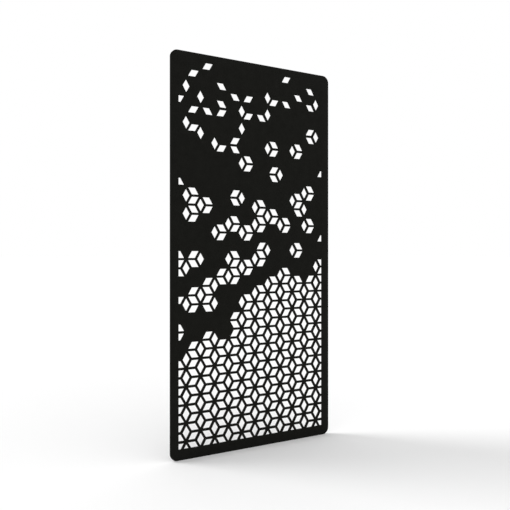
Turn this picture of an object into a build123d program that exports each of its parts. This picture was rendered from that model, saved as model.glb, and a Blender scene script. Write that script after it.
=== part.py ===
"""A hanging acoustic screen: one felt board, cut through with a lattice of tumbling blocks.

The board hangs upright from two threaded sleeves that are bonded into its top edge.
Its lattice is dense at the foot and breaks up towards the top into loose blocks and
single lozenges. All sizes are in millimetres.

The origin is the middle of the top edge, where the screen hangs. +X runs along the width,
-Y is the front face, +Z is up.
"""
from build123d import *
from math import ceil, floor, sqrt
import os

# The felt board
board_width = 1130
board_height = 2400
board_thickness = 12
corner_radius = 45

# The window that the lattice is cut to, as margins inside the board's edges
side_margin = 50
top_margin = 45
bottom_margin = 61

# The lattice: blocks with this edge, parted by ribs of this width
block_edge = 62
rib_width = 11.5
lattice_start = 103.5      # from the board's foot up to the lattice's row 0

# The threaded sleeves in the top edge
sleeve_inset = 165         # from the board's side edge to the sleeve's axis
sleeve_length = 40
sleeve_radius = 4
flange_radius = 5
flange_thickness = 1
thread_bore_radius = 2.5   # drilled size of an M6 thread
thread_depth = 30
groove_count = 4
groove_width = 3
groove_depth = 0.4
glue_gap = 0.1             # round the sleeve and its flange
glue_well = 1              # under the sleeve's lower end

# One lattice column is 1.5 edges wide, and one half row is half the height of an upright
# lozenge. A lozenge is named by its middle, as (column, half row). Whole numbers name an
# upright lozenge, and halves name a slanted one, in the gap between two columns.
# Column 0 runs up the middle of the board.
column_pitch = 1.5 * block_edge
half_row = block_edge * sqrt(3) / 2

# The top of the dense field, as (column, half row): every lozenge below it is open
field_skyline = [
    (-5.5, 9.2), (-3.5, 12), (-2, 10.5), (-1.5, 14), (-1, 15.5),
    (2.5, 19), (4, 17), (5, 19.5), (5.5, 20),
]

# Loose blocks, named by their upright lozenge. The block's two slanted lozenges lie to the
# right of it in the first list, and to the left of it in the second.
blocks_to_right = [
    (-5, 15), (-4, 16), (-2, 20), (-1, 19), (0, 20), (3, 21),
    (-3, 23), (-1, 23), (-2, 24), (0, 24), (2, 24), (4, 24),
    (-5, 25), (1, 25), (-4, 26), (0, 26), (-5, 27), (3, 27), (4, 28),
    (-1, 31), (1, 33), (3, 33),
]
blocks_to_left = [(-2, 18), (-5, 19), (-4, 20), (-1, 27), (2, 30), (5, 35)]

# Single lozenges between the blocks, then those scattered over the top
lozenges_between = [
    (-5.5, 11.5), (-5.5, 12.5), (-3.5, 14.5), (-3, 15), (-5.5, 15.5), (-4.5, 16.5), (-3, 17),
    (-3.5, 17.5), (-1.5, 17.5), (-1.5, 18.5), (-5.5, 20.5), (1, 21), (0.5, 21.5), (5.5, 22.5),
    (3.5, 25.5), (4, 26), (-5.5, 28.5), (5.5, 30.5),
]
lozenges_at_top = [
    (-2.5, 32.5), (-1.5, 32.5), (-3, 33), (-1.5, 33.5), (-4, 34), (-4.5, 34.5),
    (-5, 35), (-1, 35), (-4.5, 36.5), (-3.5, 36.5), (-2.5, 36.5), (-0.5, 36.5), (0.5, 36.5),
    (-1, 37), (1, 37), (-5.5, 37.5), (-2.5, 37.5), (-4, 38), (-1.5, 38.5), (-0.5, 38.5),
    (1.5, 38.5), (2.5, 38.5), (4.5, 38.5), (-5, 39), (1, 39), (5, 39), (-2.5, 39.5),
    (3.5, 39.5), (-4.5, 40.5), (4.5, 40.5), (-3.5, 41.5), (2.5, 41.5),
]

# An opening is its lozenge, drawn in on all four sides by half a rib. The way across a
# lozenge from side to side is as long as half its long diagonal, which is one half row.
opening_share = 1 - rib_width / half_row
opening_half_length = half_row * opening_share
opening_half_width = block_edge / 2 * opening_share

row_zero = lattice_start - board_height
window_half_width = board_width / 2 - side_margin
window_top = -top_margin
window_foot = bottom_margin - board_height
sleeve_x = board_width / 2 - sleeve_inset


def skyline_at(column):
    """Height of the dense field at a column, in half rows."""
    points = field_skyline
    if column <= points[0][0]:
        return points[0][1]
    for (left, low), (right, high) in zip(points, points[1:]):
        if column <= right:
            return low + (high - low) * (column - left) / (right - left)
    return points[-1][1]


def is_upright(column):
    """Whether the lozenges of a column stand upright, which those in the gaps don't."""
    return column == int(column)


def dense_field():
    """Addresses of all lozenges from the window's foot up to the skyline."""
    outer = ceil(window_half_width / column_pitch)
    foot = floor((window_foot - row_zero) / half_row) - 1
    for step in range(-2 * outer, 2 * outer + 1):
        column = step / 2
        # Uprights fill every second half row, staggered from column to column
        height = foot + (column + foot) % 2 if is_upright(column) else foot + 0.5
        while height <= skyline_at(column):
            yield column, height
            height += 2 if is_upright(column) else 1


def loose_openings():
    """Addresses of the lozenges in the loose blocks and of the single ones."""
    for column, height in blocks_to_right:
        yield from [(column, height), (column + 0.5, height - 0.5), (column + 0.5, height + 0.5)]
    for column, height in blocks_to_left:
        yield from [(column, height), (column - 0.5, height - 0.5), (column - 0.5, height + 0.5)]
    yield from lozenges_between
    yield from lozenges_at_top


def lean(column, height):
    """Angle of a lozenge's long diagonal, in degrees."""
    if is_upright(column):
        return 90
    return 30 if (column + height) % 2 == 0 else -30


with BuildSketch() as lozenge_opening:
    Polygon(
        (opening_half_length, 0), (0, opening_half_width),
        (-opening_half_length, 0), (0, -opening_half_width),
        align=None,
    )

with BuildSketch() as window:
    with Locations((0, (window_top + window_foot) / 2)):
        Rectangle(2 * window_half_width, window_top - window_foot)

with BuildSketch() as outline:
    with Locations((0, -board_height / 2)):
        RectangleRounded(board_width, board_height, corner_radius)


def opening_wires():
    """Outline of every opening, cut to the window where a lozenge crosses its edge."""
    for column, height in [*dense_field(), *loose_openings()]:
        middle = (column * column_pitch, row_zero + height * half_row)
        lozenge = Location(middle, (0, 0, lean(column, height))) * lozenge_opening.sketch
        in_window = lozenge & window.sketch
        if in_window:
            yield in_window.face().outer_wire()


# The openings go in as inner wires of one face, since hundreds of separate cuts are slow
board_face = Face(outline.sketch.face().outer_wire(), list(opening_wires()))

with BuildPart() as felt_board:
    with BuildSketch(Plane.XZ.offset(-board_thickness / 2)):
        add(board_face)
    extrude(amount=board_thickness)
    with GridLocations(2 * sleeve_x, 0, 2, 1):
        CounterBoreHole(
            radius=sleeve_radius + glue_gap,
            counter_bore_radius=flange_radius + glue_gap,
            counter_bore_depth=flange_thickness,
            depth=sleeve_length + glue_well,
        )

felt_board.part.label = "felt_board"


def make_sleeve(name, x):
    """Threaded sleeve with a flange at its mouth, and grooves that key into the glue."""
    groove_pitch = (sleeve_length - flange_thickness) / (groove_count + 1)
    with BuildPart() as sleeve:
        with Locations((x, 0, 0)):
            Cylinder(sleeve_radius, sleeve_length, align=(Align.CENTER, Align.CENTER, Align.MAX))
            Cylinder(flange_radius, flange_thickness, align=(Align.CENTER, Align.CENTER, Align.MAX))
            Hole(thread_bore_radius, depth=thread_depth)
        for turn in range(groove_count):
            middle = -flange_thickness - (turn + 1) * groove_pitch
            with BuildSketch(Plane.XY.offset(middle - groove_width / 2)):
                with Locations((x, 0)):
                    Circle(sleeve_radius)
                    Circle(sleeve_radius - groove_depth, mode=Mode.SUBTRACT)
            extrude(amount=groove_width, mode=Mode.SUBTRACT)
    sleeve.part.label = name
    return sleeve


left_sleeve = make_sleeve("hanging_sleeve_left", -sleeve_x)
right_sleeve = make_sleeve("hanging_sleeve_right", sleeve_x)

os.makedirs("parts", exist_ok=True)
export_step(felt_board.part, "parts/felt_board.step")
export_step(left_sleeve.part, "parts/hanging_sleeve_left.step")
export_step(right_sleeve.part, "parts/hanging_sleeve_right.step")
openings = len(board_face.inner_wires())
print("openings", openings, "board solids", len(felt_board.solids()))
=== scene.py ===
"""Looks of a hanging acoustic screen: one felt board with a tumbling-block lattice.

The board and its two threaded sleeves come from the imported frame, in metres, with the
origin in the middle of the top edge, +X along the width, -Y out of the front and +Z up.
"""
import logging
import math
from dataclasses import dataclass, field
from enum import Enum
from typing import Iterable, Optional, Union

import bmesh
import bpy
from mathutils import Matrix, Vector


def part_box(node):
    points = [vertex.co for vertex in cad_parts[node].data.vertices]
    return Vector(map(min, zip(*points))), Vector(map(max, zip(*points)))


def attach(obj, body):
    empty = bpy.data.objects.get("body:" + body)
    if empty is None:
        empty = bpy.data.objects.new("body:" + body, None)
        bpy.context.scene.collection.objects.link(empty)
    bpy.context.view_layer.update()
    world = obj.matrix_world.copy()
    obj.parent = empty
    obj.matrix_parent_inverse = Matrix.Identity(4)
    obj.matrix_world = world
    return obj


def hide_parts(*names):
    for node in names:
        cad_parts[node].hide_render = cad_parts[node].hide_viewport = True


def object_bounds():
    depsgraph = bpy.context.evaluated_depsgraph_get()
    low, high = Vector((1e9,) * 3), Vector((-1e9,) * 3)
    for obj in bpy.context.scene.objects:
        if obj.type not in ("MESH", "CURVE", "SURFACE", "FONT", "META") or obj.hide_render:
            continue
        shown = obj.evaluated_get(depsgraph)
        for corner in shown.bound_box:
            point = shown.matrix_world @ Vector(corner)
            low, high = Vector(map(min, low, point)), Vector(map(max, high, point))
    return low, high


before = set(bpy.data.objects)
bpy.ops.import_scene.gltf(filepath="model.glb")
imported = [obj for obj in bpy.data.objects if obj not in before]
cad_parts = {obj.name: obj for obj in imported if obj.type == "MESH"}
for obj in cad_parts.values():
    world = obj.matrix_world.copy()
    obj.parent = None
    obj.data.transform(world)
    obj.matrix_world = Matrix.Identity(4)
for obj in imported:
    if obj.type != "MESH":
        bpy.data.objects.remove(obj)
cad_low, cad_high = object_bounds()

log = logging.getLogger("screen")

MM = 0.001
BODY = "root"
Colour = tuple[float, float, float, float]
WHITE: Colour = (1.0, 1.0, 1.0, 1.0)
Range = tuple[float, float]
Socket = bpy.types.NodeSocket
Value = Union[float, Colour, tuple, Socket]
# A Mix node has its sockets for colours after those for numbers and vectors
MIX_SHARE, MIX_FIRST, MIX_SECOND = 0, 6, 7
MIX_RESULT = 2


class Side(Enum):
    """Which end of the top edge a sleeve sits at."""

    LEFT = "left"
    RIGHT = "right"


class FeltSurface(Enum):
    """Where on the board a felt surface lies, which decides how its fibres show."""

    FACE = 0
    CUT = 1


class NodeTree:
    """A shader node tree that is built by naming node types and what feeds their inputs."""

    def __init__(self, tree: bpy.types.NodeTree) -> None:
        """Keep the tree and clear it.

        Args:
            tree: The node tree of a material, a world or a group.
        """
        self.tree = tree
        self.tree.nodes.clear()

    def add(self, kind: str, inputs: Optional[dict] = None, **settings: object) -> bpy.types.Node:
        """Add a node and fill its inputs.

        Args:
            kind: The node's type, without its ShaderNode prefix.
            inputs: Input name or index, and the value or the socket that feeds it.
            **settings: Properties of the node.

        Returns:
            The new node.
        """
        prefix = "" if kind.startswith("NodeGroup") else "ShaderNode"
        node = self.tree.nodes.new(prefix + kind)
        for name, value in settings.items():
            setattr(node, name, value)
        for name, value in (inputs or {}).items():
            self.feed(node.inputs[name], value)
        return node

    def feed(self, socket: Socket, value: Value) -> None:
        """Link a socket to an input, or set the input to a plain value."""
        if isinstance(value, bpy.types.NodeSocket):
            self.tree.links.new(value, socket)
        else:
            socket.default_value = value

    def math(self, operation: str, first: Value, second: Value = 0.0) -> Socket:
        """Add a Math node and return its result."""
        return self.add("Math", {0: first, 1: second}, operation=operation).outputs[0]

    def remap(self, value: Socket, band: Range, to: Range = (0.0, 1.0)) -> Socket:
        """Stretch a value's range, clamped at both ends.

        Args:
            value: The value to stretch.
            band: The part of its range that is stretched.
            to: The new range.

        Returns:
            The stretched value.
        """
        ends = {"From Min": band[0], "From Max": band[1], "To Min": to[0], "To Max": to[1]}
        return self.add("MapRange", {"Value": value, **ends}).outputs["Result"]

    def blend(self, share: Socket, first: Value, second: Value) -> Socket:
        """Mix two colours by a share and return the result."""
        node = self.add("Mix", data_type="RGBA")
        for index, value in ((MIX_SHARE, share), (MIX_FIRST, first), (MIX_SECOND, second)):
            self.feed(node.inputs[index], value)
        return node.outputs[MIX_RESULT]


def new_group(name: str, inputs: dict[str, str], outputs: dict[str, str]) -> tuple[NodeTree, dict]:
    """Start a shader node group with its named sockets.

    Args:
        name: The group's name.
        inputs: Socket name and its type.
        outputs: Socket name and its type.

    Returns:
        The group's tree, and its input sockets by name.
    """
    tree = bpy.data.node_groups.new(name, "ShaderNodeTree")
    for in_out, sockets in (("INPUT", inputs), ("OUTPUT", outputs)):
        for socket, kind in sockets.items():
            tree.interface.new_socket(socket, in_out=in_out, socket_type=kind)
    nodes = NodeTree(tree)
    entry = nodes.add("NodeGroupInput")
    return nodes, {socket.name: socket for socket in entry.outputs if socket.name}


@dataclass(frozen=True)
class FibrePattern:
    """Tangled fibres, as a shader node group that all felt finishes share.

    The group's vector is in metres. Fibres run along the vector's X and Z, in several
    directions in degrees, and lie flat across its Y. A band is the part of a noise's range
    that becomes 0 to 1.
    """

    directions: tuple[int, ...] = (7, 39, 76, 112, 151)
    # How far apart the directions read the noise, so that no two share a pattern
    direction_step: float = 3.0
    fibre_band: Range = (0.55, 0.78)
    fibre_distortion: float = 0.6
    cloud_band: Range = (0.35, 0.65)
    cloud_detail: float = 4.0
    grain_detail: float = 3.0
    # How much of the height is fibres, and the rest is the fine grain between them
    fibre_height: float = 0.6

    def group(self) -> bpy.types.NodeTree:
        """Build the group.

        Returns:
            The group, which puts out Fibres, Mottle and Height, each from 0 to 1.
        """
        number = "NodeSocketFloat"
        sizes = ("Fibre Width", "Fibre Length", "Curl", "Mottle Size")
        nodes, given = new_group(
            "felt_fibres",
            {"Vector": "NodeSocketVector", **dict.fromkeys(sizes, number)},
            dict.fromkeys(("Fibres", "Mottle", "Height"), number),
        )
        across = nodes.math("DIVIDE", 1.0, given["Fibre Width"])
        along = nodes.math("DIVIDE", 1.0, given["Fibre Length"])
        scale = nodes.add("CombineXYZ", {"X": across, "Y": across, "Z": along}).outputs[0]
        bent = self.bend(nodes, given, along)
        fibres: Value = 0.0
        for turn, degrees in enumerate(self.directions):
            one_way = self.lay(nodes, bent, scale, turn * self.direction_step, degrees)
            fibres = nodes.math("MAXIMUM", fibres, one_way)
        cloud_scale = nodes.math("DIVIDE", 1.0, given["Mottle Size"])
        cloud = self.noise(nodes, given["Vector"], cloud_scale, self.cloud_detail)
        grain = self.noise(nodes, given["Vector"], across, self.grain_detail)
        fibre_part = nodes.math("MULTIPLY", fibres, self.fibre_height)
        grain_part = nodes.math("MULTIPLY", grain, 1 - self.fibre_height)
        leave = nodes.add("NodeGroupOutput")
        nodes.feed(leave.inputs["Fibres"], fibres)
        nodes.feed(leave.inputs["Mottle"], nodes.remap(cloud, self.cloud_band))
        nodes.feed(leave.inputs["Height"], nodes.math("ADD", fibre_part, grain_part))
        return nodes.tree

    @staticmethod
    def noise(nodes: NodeTree, place: Socket, scale: Socket, detail: float) -> Socket:
        """Add a noise texture and return its value."""
        return nodes.add("TexNoise", {"Vector": place, "Scale": scale, "Detail": detail}).outputs[0]

    @staticmethod
    def bend(nodes: NodeTree, given: dict[str, Socket], along: Socket) -> Socket:
        """Push the coordinates softly to and fro, so that no two fibres run straight together.

        Args:
            nodes: The group's nodes.
            given: The group's inputs by name.
            along: One over the fibres' length.

        Returns:
            The bent coordinates.
        """
        middle = (0.5, 0.5, 0.5)
        drift = nodes.add("TexNoise", {"Vector": given["Vector"], "Scale": along, "Detail": 1.0}).outputs[1]
        centred = nodes.add("VectorMath", {0: drift, 1: middle}, operation="SUBTRACT").outputs[0]
        push = nodes.add("VectorMath", {0: centred, "Scale": given["Curl"]}, operation="SCALE").outputs[0]
        return nodes.add("VectorMath", {0: given["Vector"], 1: push}, operation="ADD").outputs[0]

    def lay(self, nodes: NodeTree, bent: Socket, scale: Socket, seed: float, degrees: int) -> Socket:
        """Lay the fibres that run one way.

        Args:
            nodes: The group's nodes.
            bent: The bent coordinates.
            scale: One over the fibres' width, width and length.
            seed: Where in the noise's fourth dimension the pattern is read.
            degrees: The way that the fibres run, about Y.

        Returns:
            The fibres, from 0 between them to 1 on them.
        """
        turned = nodes.add(
            "VectorRotate", {"Vector": bent, "Angle": math.radians(degrees)}, rotation_type="Y_AXIS"
        ).outputs[0]
        stretched = nodes.add("VectorMath", {0: turned, 1: scale}, operation="MULTIPLY").outputs[0]
        settings = {"W": seed, "Scale": 1.0, "Detail": 1.0, "Distortion": self.fibre_distortion}
        noise = nodes.add(
            "TexNoise", {"Vector": stretched, **settings}, noise_dimensions="4D"
        ).outputs[0]
        return nodes.remap(noise, self.fibre_band)


@dataclass(frozen=True)
class FeltFinish:
    """Pressed black felt, on a face of the board or along a cut.

    The ground shows between the fibres and the strand on them, and the first of the two
    roughness values lies between them. Cut layers are how a cut's pattern is stretched.
    """

    name: str
    surface: FeltSurface
    ground: Colour = (0.0042, 0.0042, 0.0034, 1.0)
    strand: Colour = (0.0180, 0.0181, 0.0156, 1.0)
    fibre_width: float = 0.20 * MM
    fibre_length: float = 3.5 * MM
    curl: float = 2.5 * MM
    mottle_size: float = 45 * MM
    mottle_share: float = 0.1
    bump_height: float = 0.15 * MM
    bump_strength: float = 0.6
    roughness: Range = (1.0, 0.86)
    specular: float = 0.05
    sheen: float = 0.012
    sheen_roughness: float = 0.6
    cut_layers: tuple[float, float, float] = (0.35, 2.2, 0.35)

    def material(self, fibres: bpy.types.NodeTree) -> bpy.types.Material:
        """Build the material.

        Args:
            fibres: The shared group that lays the fibres.

        Returns:
            The finished material.
        """
        made = bpy.data.materials.new(self.name)
        made.use_nodes = True
        nodes = NodeTree(made.node_tree)
        place = nodes.add("TexCoord").outputs["Object"]
        if self.surface is FeltSurface.CUT:
            # A cut shows the fibres end on, in flat layers through the board's thickness
            place = nodes.add("Mapping", {"Vector": place, "Scale": self.cut_layers}).outputs[0]
        laid = nodes.add("Group", node_tree=fibres)
        sizes = {
            "Vector": place,
            "Fibre Width": self.fibre_width,
            "Fibre Length": self.fibre_length,
            "Curl": self.curl,
            "Mottle Size": self.mottle_size,
        }
        for name, value in sizes.items():
            nodes.feed(laid.inputs[name], value)
        cloudy = nodes.math("MULTIPLY", laid.outputs["Mottle"], self.mottle_share)
        fibrous = nodes.math("MULTIPLY", laid.outputs["Fibres"], 1 - self.mottle_share)
        share = nodes.math("ADD", fibrous, cloudy)
        colour = nodes.blend(share, self.ground, self.strand)
        bump = nodes.add(
            "Bump",
            {
                "Strength": self.bump_strength,
                "Distance": self.bump_height,
                "Height": laid.outputs["Height"],
            },
        ).outputs[0]
        shader = nodes.add(
            "BsdfPrincipled",
            {
                "Base Color": colour,
                "Roughness": nodes.remap(laid.outputs["Fibres"], (0.0, 1.0), self.roughness),
                "Specular IOR Level": self.specular,
                "Sheen Weight": self.sheen,
                "Sheen Roughness": self.sheen_roughness,
                "Normal": bump,
            },
        ).outputs[0]
        nodes.add("OutputMaterial", {"Surface": shader})
        return made


@dataclass(frozen=True)
class BrassFinish:
    """Turned brass of the sleeves, with fine rings round each sleeve's axis."""

    name: str = "turned_brass"
    bright: Colour = (0.60, 0.44, 0.20, 1.0)
    dull: Colour = (0.38, 0.27, 0.12, 1.0)
    ring_pitch: float = 0.25 * MM
    ring_depth: float = 0.012 * MM
    ring_strength: float = 0.6
    stains_per_metre: float = 700.0
    stain_detail: float = 4.0
    stain_band: Range = (0.35, 0.7)
    roughness_band: Range = (0.3, 0.7)
    roughness: Range = (0.26, 0.46)

    def material(self, sleeve_offset: float) -> bpy.types.Material:
        """Build the material.

        Args:
            sleeve_offset: Distance of each sleeve's axis from the board's middle.

        Returns:
            The finished material.
        """
        made = bpy.data.materials.new(self.name)
        made.use_nodes = True
        nodes = NodeTree(made.node_tree)
        place = nodes.add("TexCoord").outputs["Object"]
        parts = nodes.add("SeparateXYZ", {0: place}).outputs
        # Both sleeves lie at the same distance from the middle, so one ring pattern serves them
        beside = nodes.math("SUBTRACT", nodes.math("ABSOLUTE", parts["X"]), sleeve_offset)
        flat = nodes.add("CombineXYZ", {"X": beside, "Y": parts["Y"]}).outputs[0]
        radius = nodes.add("VectorMath", {0: flat}, operation="LENGTH").outputs["Value"]
        run = nodes.math("ADD", radius, parts["Z"])
        rings = nodes.math("SINE", nodes.math("MULTIPLY", run, 2 * math.pi / self.ring_pitch))
        stain = nodes.add(
            "TexNoise",
            {"Vector": place, "Scale": self.stains_per_metre, "Detail": self.stain_detail},
        ).outputs[0]
        share = nodes.remap(stain, self.stain_band)
        bump = nodes.add(
            "Bump",
            {"Strength": self.ring_strength, "Distance": self.ring_depth, "Height": rings},
        ).outputs[0]
        shader = nodes.add(
            "BsdfPrincipled",
            {
                "Base Color": nodes.blend(share, self.bright, self.dull),
                "Metallic": 1.0,
                "Roughness": nodes.remap(stain, self.roughness_band, self.roughness),
                "Normal": bump,
            },
        ).outputs[0]
        nodes.add("OutputMaterial", {"Surface": shader})
        return made


def object_from(bm: bmesh.types.BMesh, name: str, materials: Iterable) -> bpy.types.Object:
    """Turn a bmesh into an object at the origin.

    Args:
        bm: The finished mesh, in metres in the frame. It is freed.
        name: The piece's name.
        materials: Its materials, in slot order.

    Returns:
        The new object.
    """
    mesh = bpy.data.meshes.new(name)
    bm.to_mesh(mesh)
    bm.free()
    for material in materials:
        mesh.materials.append(material)
    made = bpy.data.objects.new(name, mesh)
    bpy.context.scene.collection.objects.link(made)
    return made


@dataclass
class FeltBoard:
    """The board, with the soft edges that a cutter leaves in felt.

    Round every opening the cut fibres spring a little proud of the CAD wall. The board's
    outline is rounded inwards instead, so it keeps to the CAD size.

    A slope is the part of a face's normal that points along Y: 1 on the flat faces and 0 on
    a wall. Within the outline reach of the box, a vertex belongs to the outline.
    """

    node: str = "felt_board"
    merge_distance: float = 0.01 * MM
    plane_tolerance: float = 0.001 * MM
    nap: float = 1.0 * MM
    outline_rounding: float = 0.4 * MM
    arris: float = 0.7 * MM
    arris_segments: int = 3
    outline_reach: float = 20 * MM
    wall_slope: float = 0.5
    cut_slope: float = math.cos(math.radians(50))
    flat_slope: float = 0.999
    crease_angle: float = math.radians(36)
    finishes: tuple[FeltFinish, ...] = (
        FeltFinish("black_felt_face", FeltSurface.FACE),
        FeltFinish(
            "black_felt_cut",
            FeltSurface.CUT,
            fibre_width=0.28 * MM,
            mottle_size=20 * MM,
            bump_height=0.2 * MM,
        ),
    )
    low: Vector = field(init=False)
    high: Vector = field(init=False)

    def __post_init__(self) -> None:
        """Read from the frame where the board is."""
        self.low, self.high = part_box(self.node)

    def build(self) -> bpy.types.Object:
        """Merge a copy of the CAD board, soften its edges and dress it.

        Returns:
            The board, riding on its body in place of the CAD node.
        """
        bm = bmesh.new()
        bm.from_mesh(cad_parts[self.node].data)
        bmesh.ops.remove_doubles(bm, verts=bm.verts, dist=self.merge_distance)
        bm.normal_update()
        self.join_walls(bm)
        self.cut_rings(bm)
        self.soften(bm)
        for face in bm.faces:
            slope = abs(face.normal.y)
            surface = FeltSurface.CUT if slope < self.cut_slope else FeltSurface.FACE
            face.material_index = surface.value
            face.smooth = slope < self.flat_slope
        fibres = FibrePattern().group()
        board = object_from(bm, "board", [finish.material(fibres) for finish in self.finishes])
        board.data.set_sharp_from_angle(angle=self.crease_angle)
        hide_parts(self.node)
        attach(board, BODY)
        log.info("board: %d faces", len(board.data.polygons))
        return board

    def is_wall(self, face: bmesh.types.BMFace) -> bool:
        """Return whether a face runs through the board's thickness."""
        return abs(face.normal.y) < self.wall_slope

    def join_walls(self, bm: bmesh.types.BMesh) -> None:
        """Make one quad of the two triangles of every wall that runs from face to face."""
        diagonals = []
        for edge in bm.edges:
            along = edge.verts[1].co - edge.verts[0].co
            slants = min(abs(along.y), math.hypot(along.x, along.z)) > self.merge_distance
            in_wall = len(edge.link_faces) == 2 and all(map(self.is_wall, edge.link_faces))
            corners = {vert for face in edge.link_faces for vert in face.verts}
            reach = max(self.depth_under_face(vert) for vert in corners)
            if slants and in_wall and reach < self.merge_distance:
                diagonals.append(edge)
        bmesh.ops.dissolve_edges(bm, edges=diagonals, use_verts=False, use_face_split=False)

    def cut_rings(self, bm: bmesh.types.BMesh) -> None:
        """Cut rings through all walls, parallel to the faces, where the arris will curve."""
        for turn in range(1, self.arris_segments + 1):
            angle = turn / self.arris_segments * math.pi / 2
            depth = self.arris * (1 - math.cos(angle))
            for y in (self.low.y + depth, self.high.y - depth):
                bmesh.ops.bisect_plane(
                    bm,
                    geom=[*bm.verts, *bm.edges, *bm.faces],
                    dist=self.plane_tolerance,
                    plane_co=(0.0, y, 0.0),
                    plane_no=(0.0, 1.0, 0.0),
                )

    def depth_under_face(self, vert: bmesh.types.BMVert) -> float:
        """Return how far a vertex lies from the nearer of the two faces."""
        return min(vert.co.y - self.low.y, self.high.y - vert.co.y)

    def is_on_outline(self, vert: bmesh.types.BMVert) -> bool:
        """Return whether a vertex lies on the board's outline and not at an opening."""
        beside = min(vert.co.x - self.low.x, self.high.x - vert.co.x)
        above = min(vert.co.z - self.low.z, self.high.z - vert.co.z)
        return min(beside, above) < self.outline_reach

    def outwards(self, vert: bmesh.types.BMVert) -> Optional[Vector]:
        """Find which way a vertex moves when all its walls move out by one unit.

        Args:
            vert: A vertex on a wall, or on the arris between a wall and a face.

        Returns:
            The move, or None where no wall meets the vertex.
        """
        walls = [face.normal for face in vert.link_faces if self.is_wall(face)]
        if not walls:
            return None
        first = walls[0]
        second = min(walls, key=first.dot)
        return (first + second) / (1 + first.dot(second))

    def soften(self, bm: bmesh.types.BMesh) -> None:
        """Round the walls' edges, proud at the openings and inwards along the outline."""
        bm.normal_update()
        deepest = self.arris + self.merge_distance
        moves = {}
        for vert in bm.verts:
            depth = self.depth_under_face(vert)
            direction = self.outwards(vert)
            if direction is None or depth > deepest:
                continue
            rise = math.sqrt(max(0.0, 1 - (1 - depth / self.arris) ** 2))
            if self.is_on_outline(vert):
                moves[vert] = direction * (self.outline_rounding * (rise - 1))
            else:
                moves[vert] = direction * (self.nap * rise)
        for vert, move in moves.items():
            vert.co += move


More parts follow.
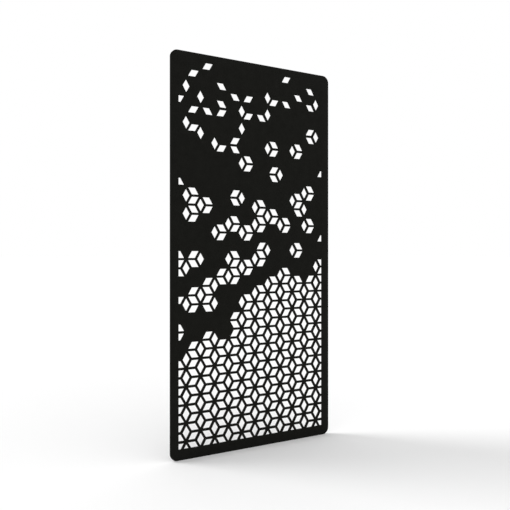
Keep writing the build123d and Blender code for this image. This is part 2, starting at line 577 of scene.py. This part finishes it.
@dataclass
class ThreadedSleeve:
    """A brass sleeve with a flange, glue grooves and an M6 thread."""

    side: Side
    length: float = 40 * MM
    radius: float = 4 * MM
    flange_radius: float = 5 * MM
    flange_thickness: float = 1 * MM
    groove_count: int = 4
    groove_width: float = 3 * MM
    groove_depth: float = 0.4 * MM
    thread_root: float = 3 * MM
    thread_crest: float = 2.5 * MM
    thread_depth: float = 30 * MM
    thread_pitch: float = 1 * MM
    mouth_chamfer: float = 0.5 * MM
    drill_point: float = 1.4 * MM
    # Half the thread's ridge at its root and at its crest, as shares of the pitch
    ridge_root: float = 0.42
    ridge_crest: float = 0.07
    # How deep the ridge is sunk into the wall, so that no gap shows under it
    ridge_overlap: float = 0.05 * MM
    around: int = 48
    thread_steps: int = 24
    merge_distance: float = 0.001 * MM
    crease_angle: float = math.radians(35)
    low: Vector = field(init=False)
    high: Vector = field(init=False)

    def __post_init__(self) -> None:
        """Read from the frame where the sleeve sits."""
        self.low, self.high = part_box(self.node)

    @property
    def node(self) -> str:
        """Name of the CAD node that the sleeve stands for."""
        return f"hanging_sleeve_{self.side.value}"

    @property
    def axis_x(self) -> float:
        """Where the sleeve's axis lies along the board's width."""
        return (self.low.x + self.high.x) / 2

    def outline(self) -> list[tuple[float, float]]:
        """Half section of the sleeve, as radius and height.

        Returns:
            Points from the foot's middle, up the outside and down the bore.
        """
        top = self.high.z
        points = [(0.0, top - self.length), (self.radius, top - self.length)]
        pitch = (self.length - self.flange_thickness) / (self.groove_count + 1)
        for turn in reversed(range(self.groove_count)):
            middle = top - self.flange_thickness - (turn + 1) * pitch
            floor = self.radius - self.groove_depth
            for radius, half in ((self.radius, -1), (floor, -1), (floor, 1), (self.radius, 1)):
                points.append((radius, middle + half * self.groove_width / 2))
        under_flange = top - self.flange_thickness
        points += [(self.radius, under_flange), (self.flange_radius, under_flange)]
        points += [(self.flange_radius, top), (self.thread_root + self.mouth_chamfer, top)]
        points += [(self.thread_root, top - self.mouth_chamfer)]
        points += [(self.thread_root, top - self.thread_depth)]
        points += [(0.0, top - self.thread_depth - self.drill_point)]
        return points

    def build(self, brass: bpy.types.Material) -> bpy.types.Object:
        """Turn the sleeve, cut its thread and dress it.

        Args:
            brass: The sleeve's material.

        Returns:
            The sleeve, riding on its body in place of the CAD node.
        """
        bm = bmesh.new()
        self.add_body(bm)
        self.add_thread(bm)
        bmesh.ops.recalc_face_normals(bm, faces=bm.faces)
        for face in bm.faces:
            face.smooth = True
        sleeve = object_from(bm, f"threaded_sleeve_{self.side.value}", [brass])
        sleeve.data.set_sharp_from_angle(angle=self.crease_angle)
        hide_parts(self.node)
        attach(sleeve, BODY)
        log.info("%s: %d faces", sleeve.name, len(sleeve.data.polygons))
        return sleeve

    def add_body(self, bm: bmesh.types.BMesh) -> None:
        """Spin the sleeve's half section round its axis."""
        verts = [bm.verts.new((self.axis_x + radius, 0.0, z)) for radius, z in self.outline()]
        edges = [bm.edges.new(pair) for pair in zip(verts, verts[1:])]
        bmesh.ops.spin(
            bm,
            geom=verts + edges,
            cent=(self.axis_x, 0.0, 0.0),
            axis=(0.0, 0.0, 1.0),
            angle=2 * math.pi,
            steps=self.around,
            use_merge=True,
        )
        bmesh.ops.remove_doubles(bm, verts=bm.verts, dist=self.merge_distance)

    def add_thread(self, bm: bmesh.types.BMesh) -> None:
        """Run the thread's ridge down the bore as a helix."""
        turns = int((self.thread_depth - 2 * self.mouth_chamfer) / self.thread_pitch)
        start = self.high.z - self.mouth_chamfer - self.thread_pitch
        sunk = self.thread_root + self.ridge_overlap
        half_root = self.ridge_root * self.thread_pitch
        half_crest = self.ridge_crest * self.thread_pitch
        section = [
            (sunk, half_root),
            (self.thread_crest, half_crest),
            (self.thread_crest, -half_crest),
            (sunk, -half_root),
        ]
        verts = [bm.verts.new((self.axis_x + radius, 0.0, start + z)) for radius, z in section]
        first = bm.faces.new(verts)
        bmesh.ops.spin(
            bm,
            geom=[first],
            cent=(self.axis_x, 0.0, 0.0),
            axis=(0.0, 0.0, 1.0),
            dvec=(0.0, 0.0, -self.thread_pitch / self.thread_steps),
            angle=-2 * math.pi * turns,
            steps=turns * self.thread_steps,
            use_merge=False,
        )


@dataclass(frozen=True)
class PhotoCamera:
    """The camera at the photograph's viewing angle.

    The eye is in metres, the sensor in millimetres, and pixels are those of the photograph.
    """

    eye: tuple[float, float, float] = (-1.8302, -3.2319, -1.1923)
    heading: float = math.radians(29.54)
    focal_pixels: float = 592.15
    frame_pixels: float = 510.0
    horizon_pixel: float = 253.94
    sensor: float = 36.0
    nearest: float = 0.05
    farthest: float = 500.0

    def place(self) -> bpy.types.Object:
        """Set the camera up, level, as the scene's camera.

        Returns:
            The camera.
        """
        data = bpy.data.cameras.new("photo_camera")
        data.sensor_width = self.sensor
        data.lens = self.sensor * self.focal_pixels / self.frame_pixels
        data.shift_y = (self.horizon_pixel - self.frame_pixels / 2) / self.frame_pixels
        data.clip_start, data.clip_end = self.nearest, self.farthest
        camera = bpy.data.objects.new("photo_camera", data)
        camera.location = self.eye
        camera.rotation_euler = (math.pi / 2, 0.0, -self.heading)
        bpy.context.scene.collection.objects.link(camera)
        bpy.context.scene.camera = camera
        return camera


@dataclass(frozen=True)
class SoftLamp:
    """A far soft light, given by where it stands as seen from the board.

    The bearing goes round from +X towards +Y. It, the elevation and the softness, which is
    the width of the light in the sky, are in degrees.
    """

    name: str
    bearing: float
    elevation: float
    softness: float
    strength: float

    def place(self) -> bpy.types.Object:
        """Set the lamp up, shining at the board.

        Returns:
            The lamp.
        """
        data = bpy.data.lights.new(self.name, "SUN")
        data.energy = self.strength
        data.angle = math.radians(self.softness)
        lamp = bpy.data.objects.new(self.name, data)
        bearing, elevation = math.radians(self.bearing), math.radians(self.elevation)
        towards = Vector(
            (
                math.cos(bearing) * math.cos(elevation),
                math.sin(bearing) * math.cos(elevation),
                math.sin(elevation),
            )
        )
        lamp.rotation_mode = "QUATERNION"
        lamp.rotation_quaternion = towards.to_track_quat("Z", "Y")
        bpy.context.scene.collection.objects.link(lamp)
        return lamp


@dataclass(frozen=True)
class Studio:
    """A plain pale floor under white surroundings, with two soft lights.

    The stronger light stands behind the board, to its left, and throws the long soft
    shadow forwards to the right. The weaker one fills in from the front.
    """

    floor_size: float = 400.0
    floor_colour: Colour = (0.90, 0.90, 0.90, 1.0)
    sky_light: float = 0.748
    lamps: tuple[SoftLamp, ...] = (
        SoftLamp("back_light", bearing=140.7, elevation=40.0, softness=27.0, strength=1.46),
        SoftLamp("fill_light", bearing=-62.9, elevation=45.0, softness=78.0, strength=0.42),
    )

    def build(self, floor_z: float) -> None:
        """Make the floor, the surroundings and the lamps.

        Args:
            floor_z: Height of the floor.
        """
        self.build_floor(floor_z)
        self.build_world()
        for lamp in self.lamps:
            lamp.place()
        bpy.context.scene.view_settings.view_transform = "Standard"

    def build_floor(self, floor_z: float) -> None:
        """Lay the floor, which the lamps light to white where the board casts no shadow."""
        bm = bmesh.new()
        bmesh.ops.create_grid(bm, x_segments=1, y_segments=1, size=self.floor_size / 2)
        bmesh.ops.translate(bm, verts=bm.verts, vec=(0.0, 0.0, floor_z))
        made = bpy.data.materials.new("pale_floor")
        made.use_nodes = True
        nodes = NodeTree(made.node_tree)
        paint = nodes.add("BsdfDiffuse", {"Color": self.floor_colour}).outputs[0]
        nodes.add("OutputMaterial", {"Surface": paint})
        object_from(bm, "floor", [made])

    def build_world(self) -> None:
        """Make the surroundings white to the eye, and an even soft light on the board."""
        world = bpy.data.worlds.new("white_surroundings")
        bpy.context.scene.world = world
        world.use_nodes = True
        nodes = NodeTree(world.node_tree)
        ray = nodes.add("LightPath").outputs
        straight_or_mirrored = nodes.math("MAXIMUM", ray["Is Camera Ray"], ray["Is Glossy Ray"])
        seen = nodes.math("MAXIMUM", straight_or_mirrored, ray["Is Transmission Ray"])
        strength = nodes.remap(seen, (0.0, 1.0), (self.sky_light, 1.0))
        light = nodes.add("Background", {"Color": WHITE, "Strength": strength}).outputs[0]
        nodes.add("OutputWorld", {"Surface": light})


def main() -> None:
    """Set up the camera, dress the screen and light it."""
    logging.basicConfig(level=logging.INFO, format="%(message)s")
    PhotoCamera().place()
    FeltBoard().build()
    sleeves = [ThreadedSleeve(side) for side in Side]
    brass = BrassFinish().material(abs(sleeves[0].axis_x))
    for sleeve in sleeves:
        sleeve.build(brass)
    Studio().build(cad_low.z)


if __name__ == "__main__":
    main()
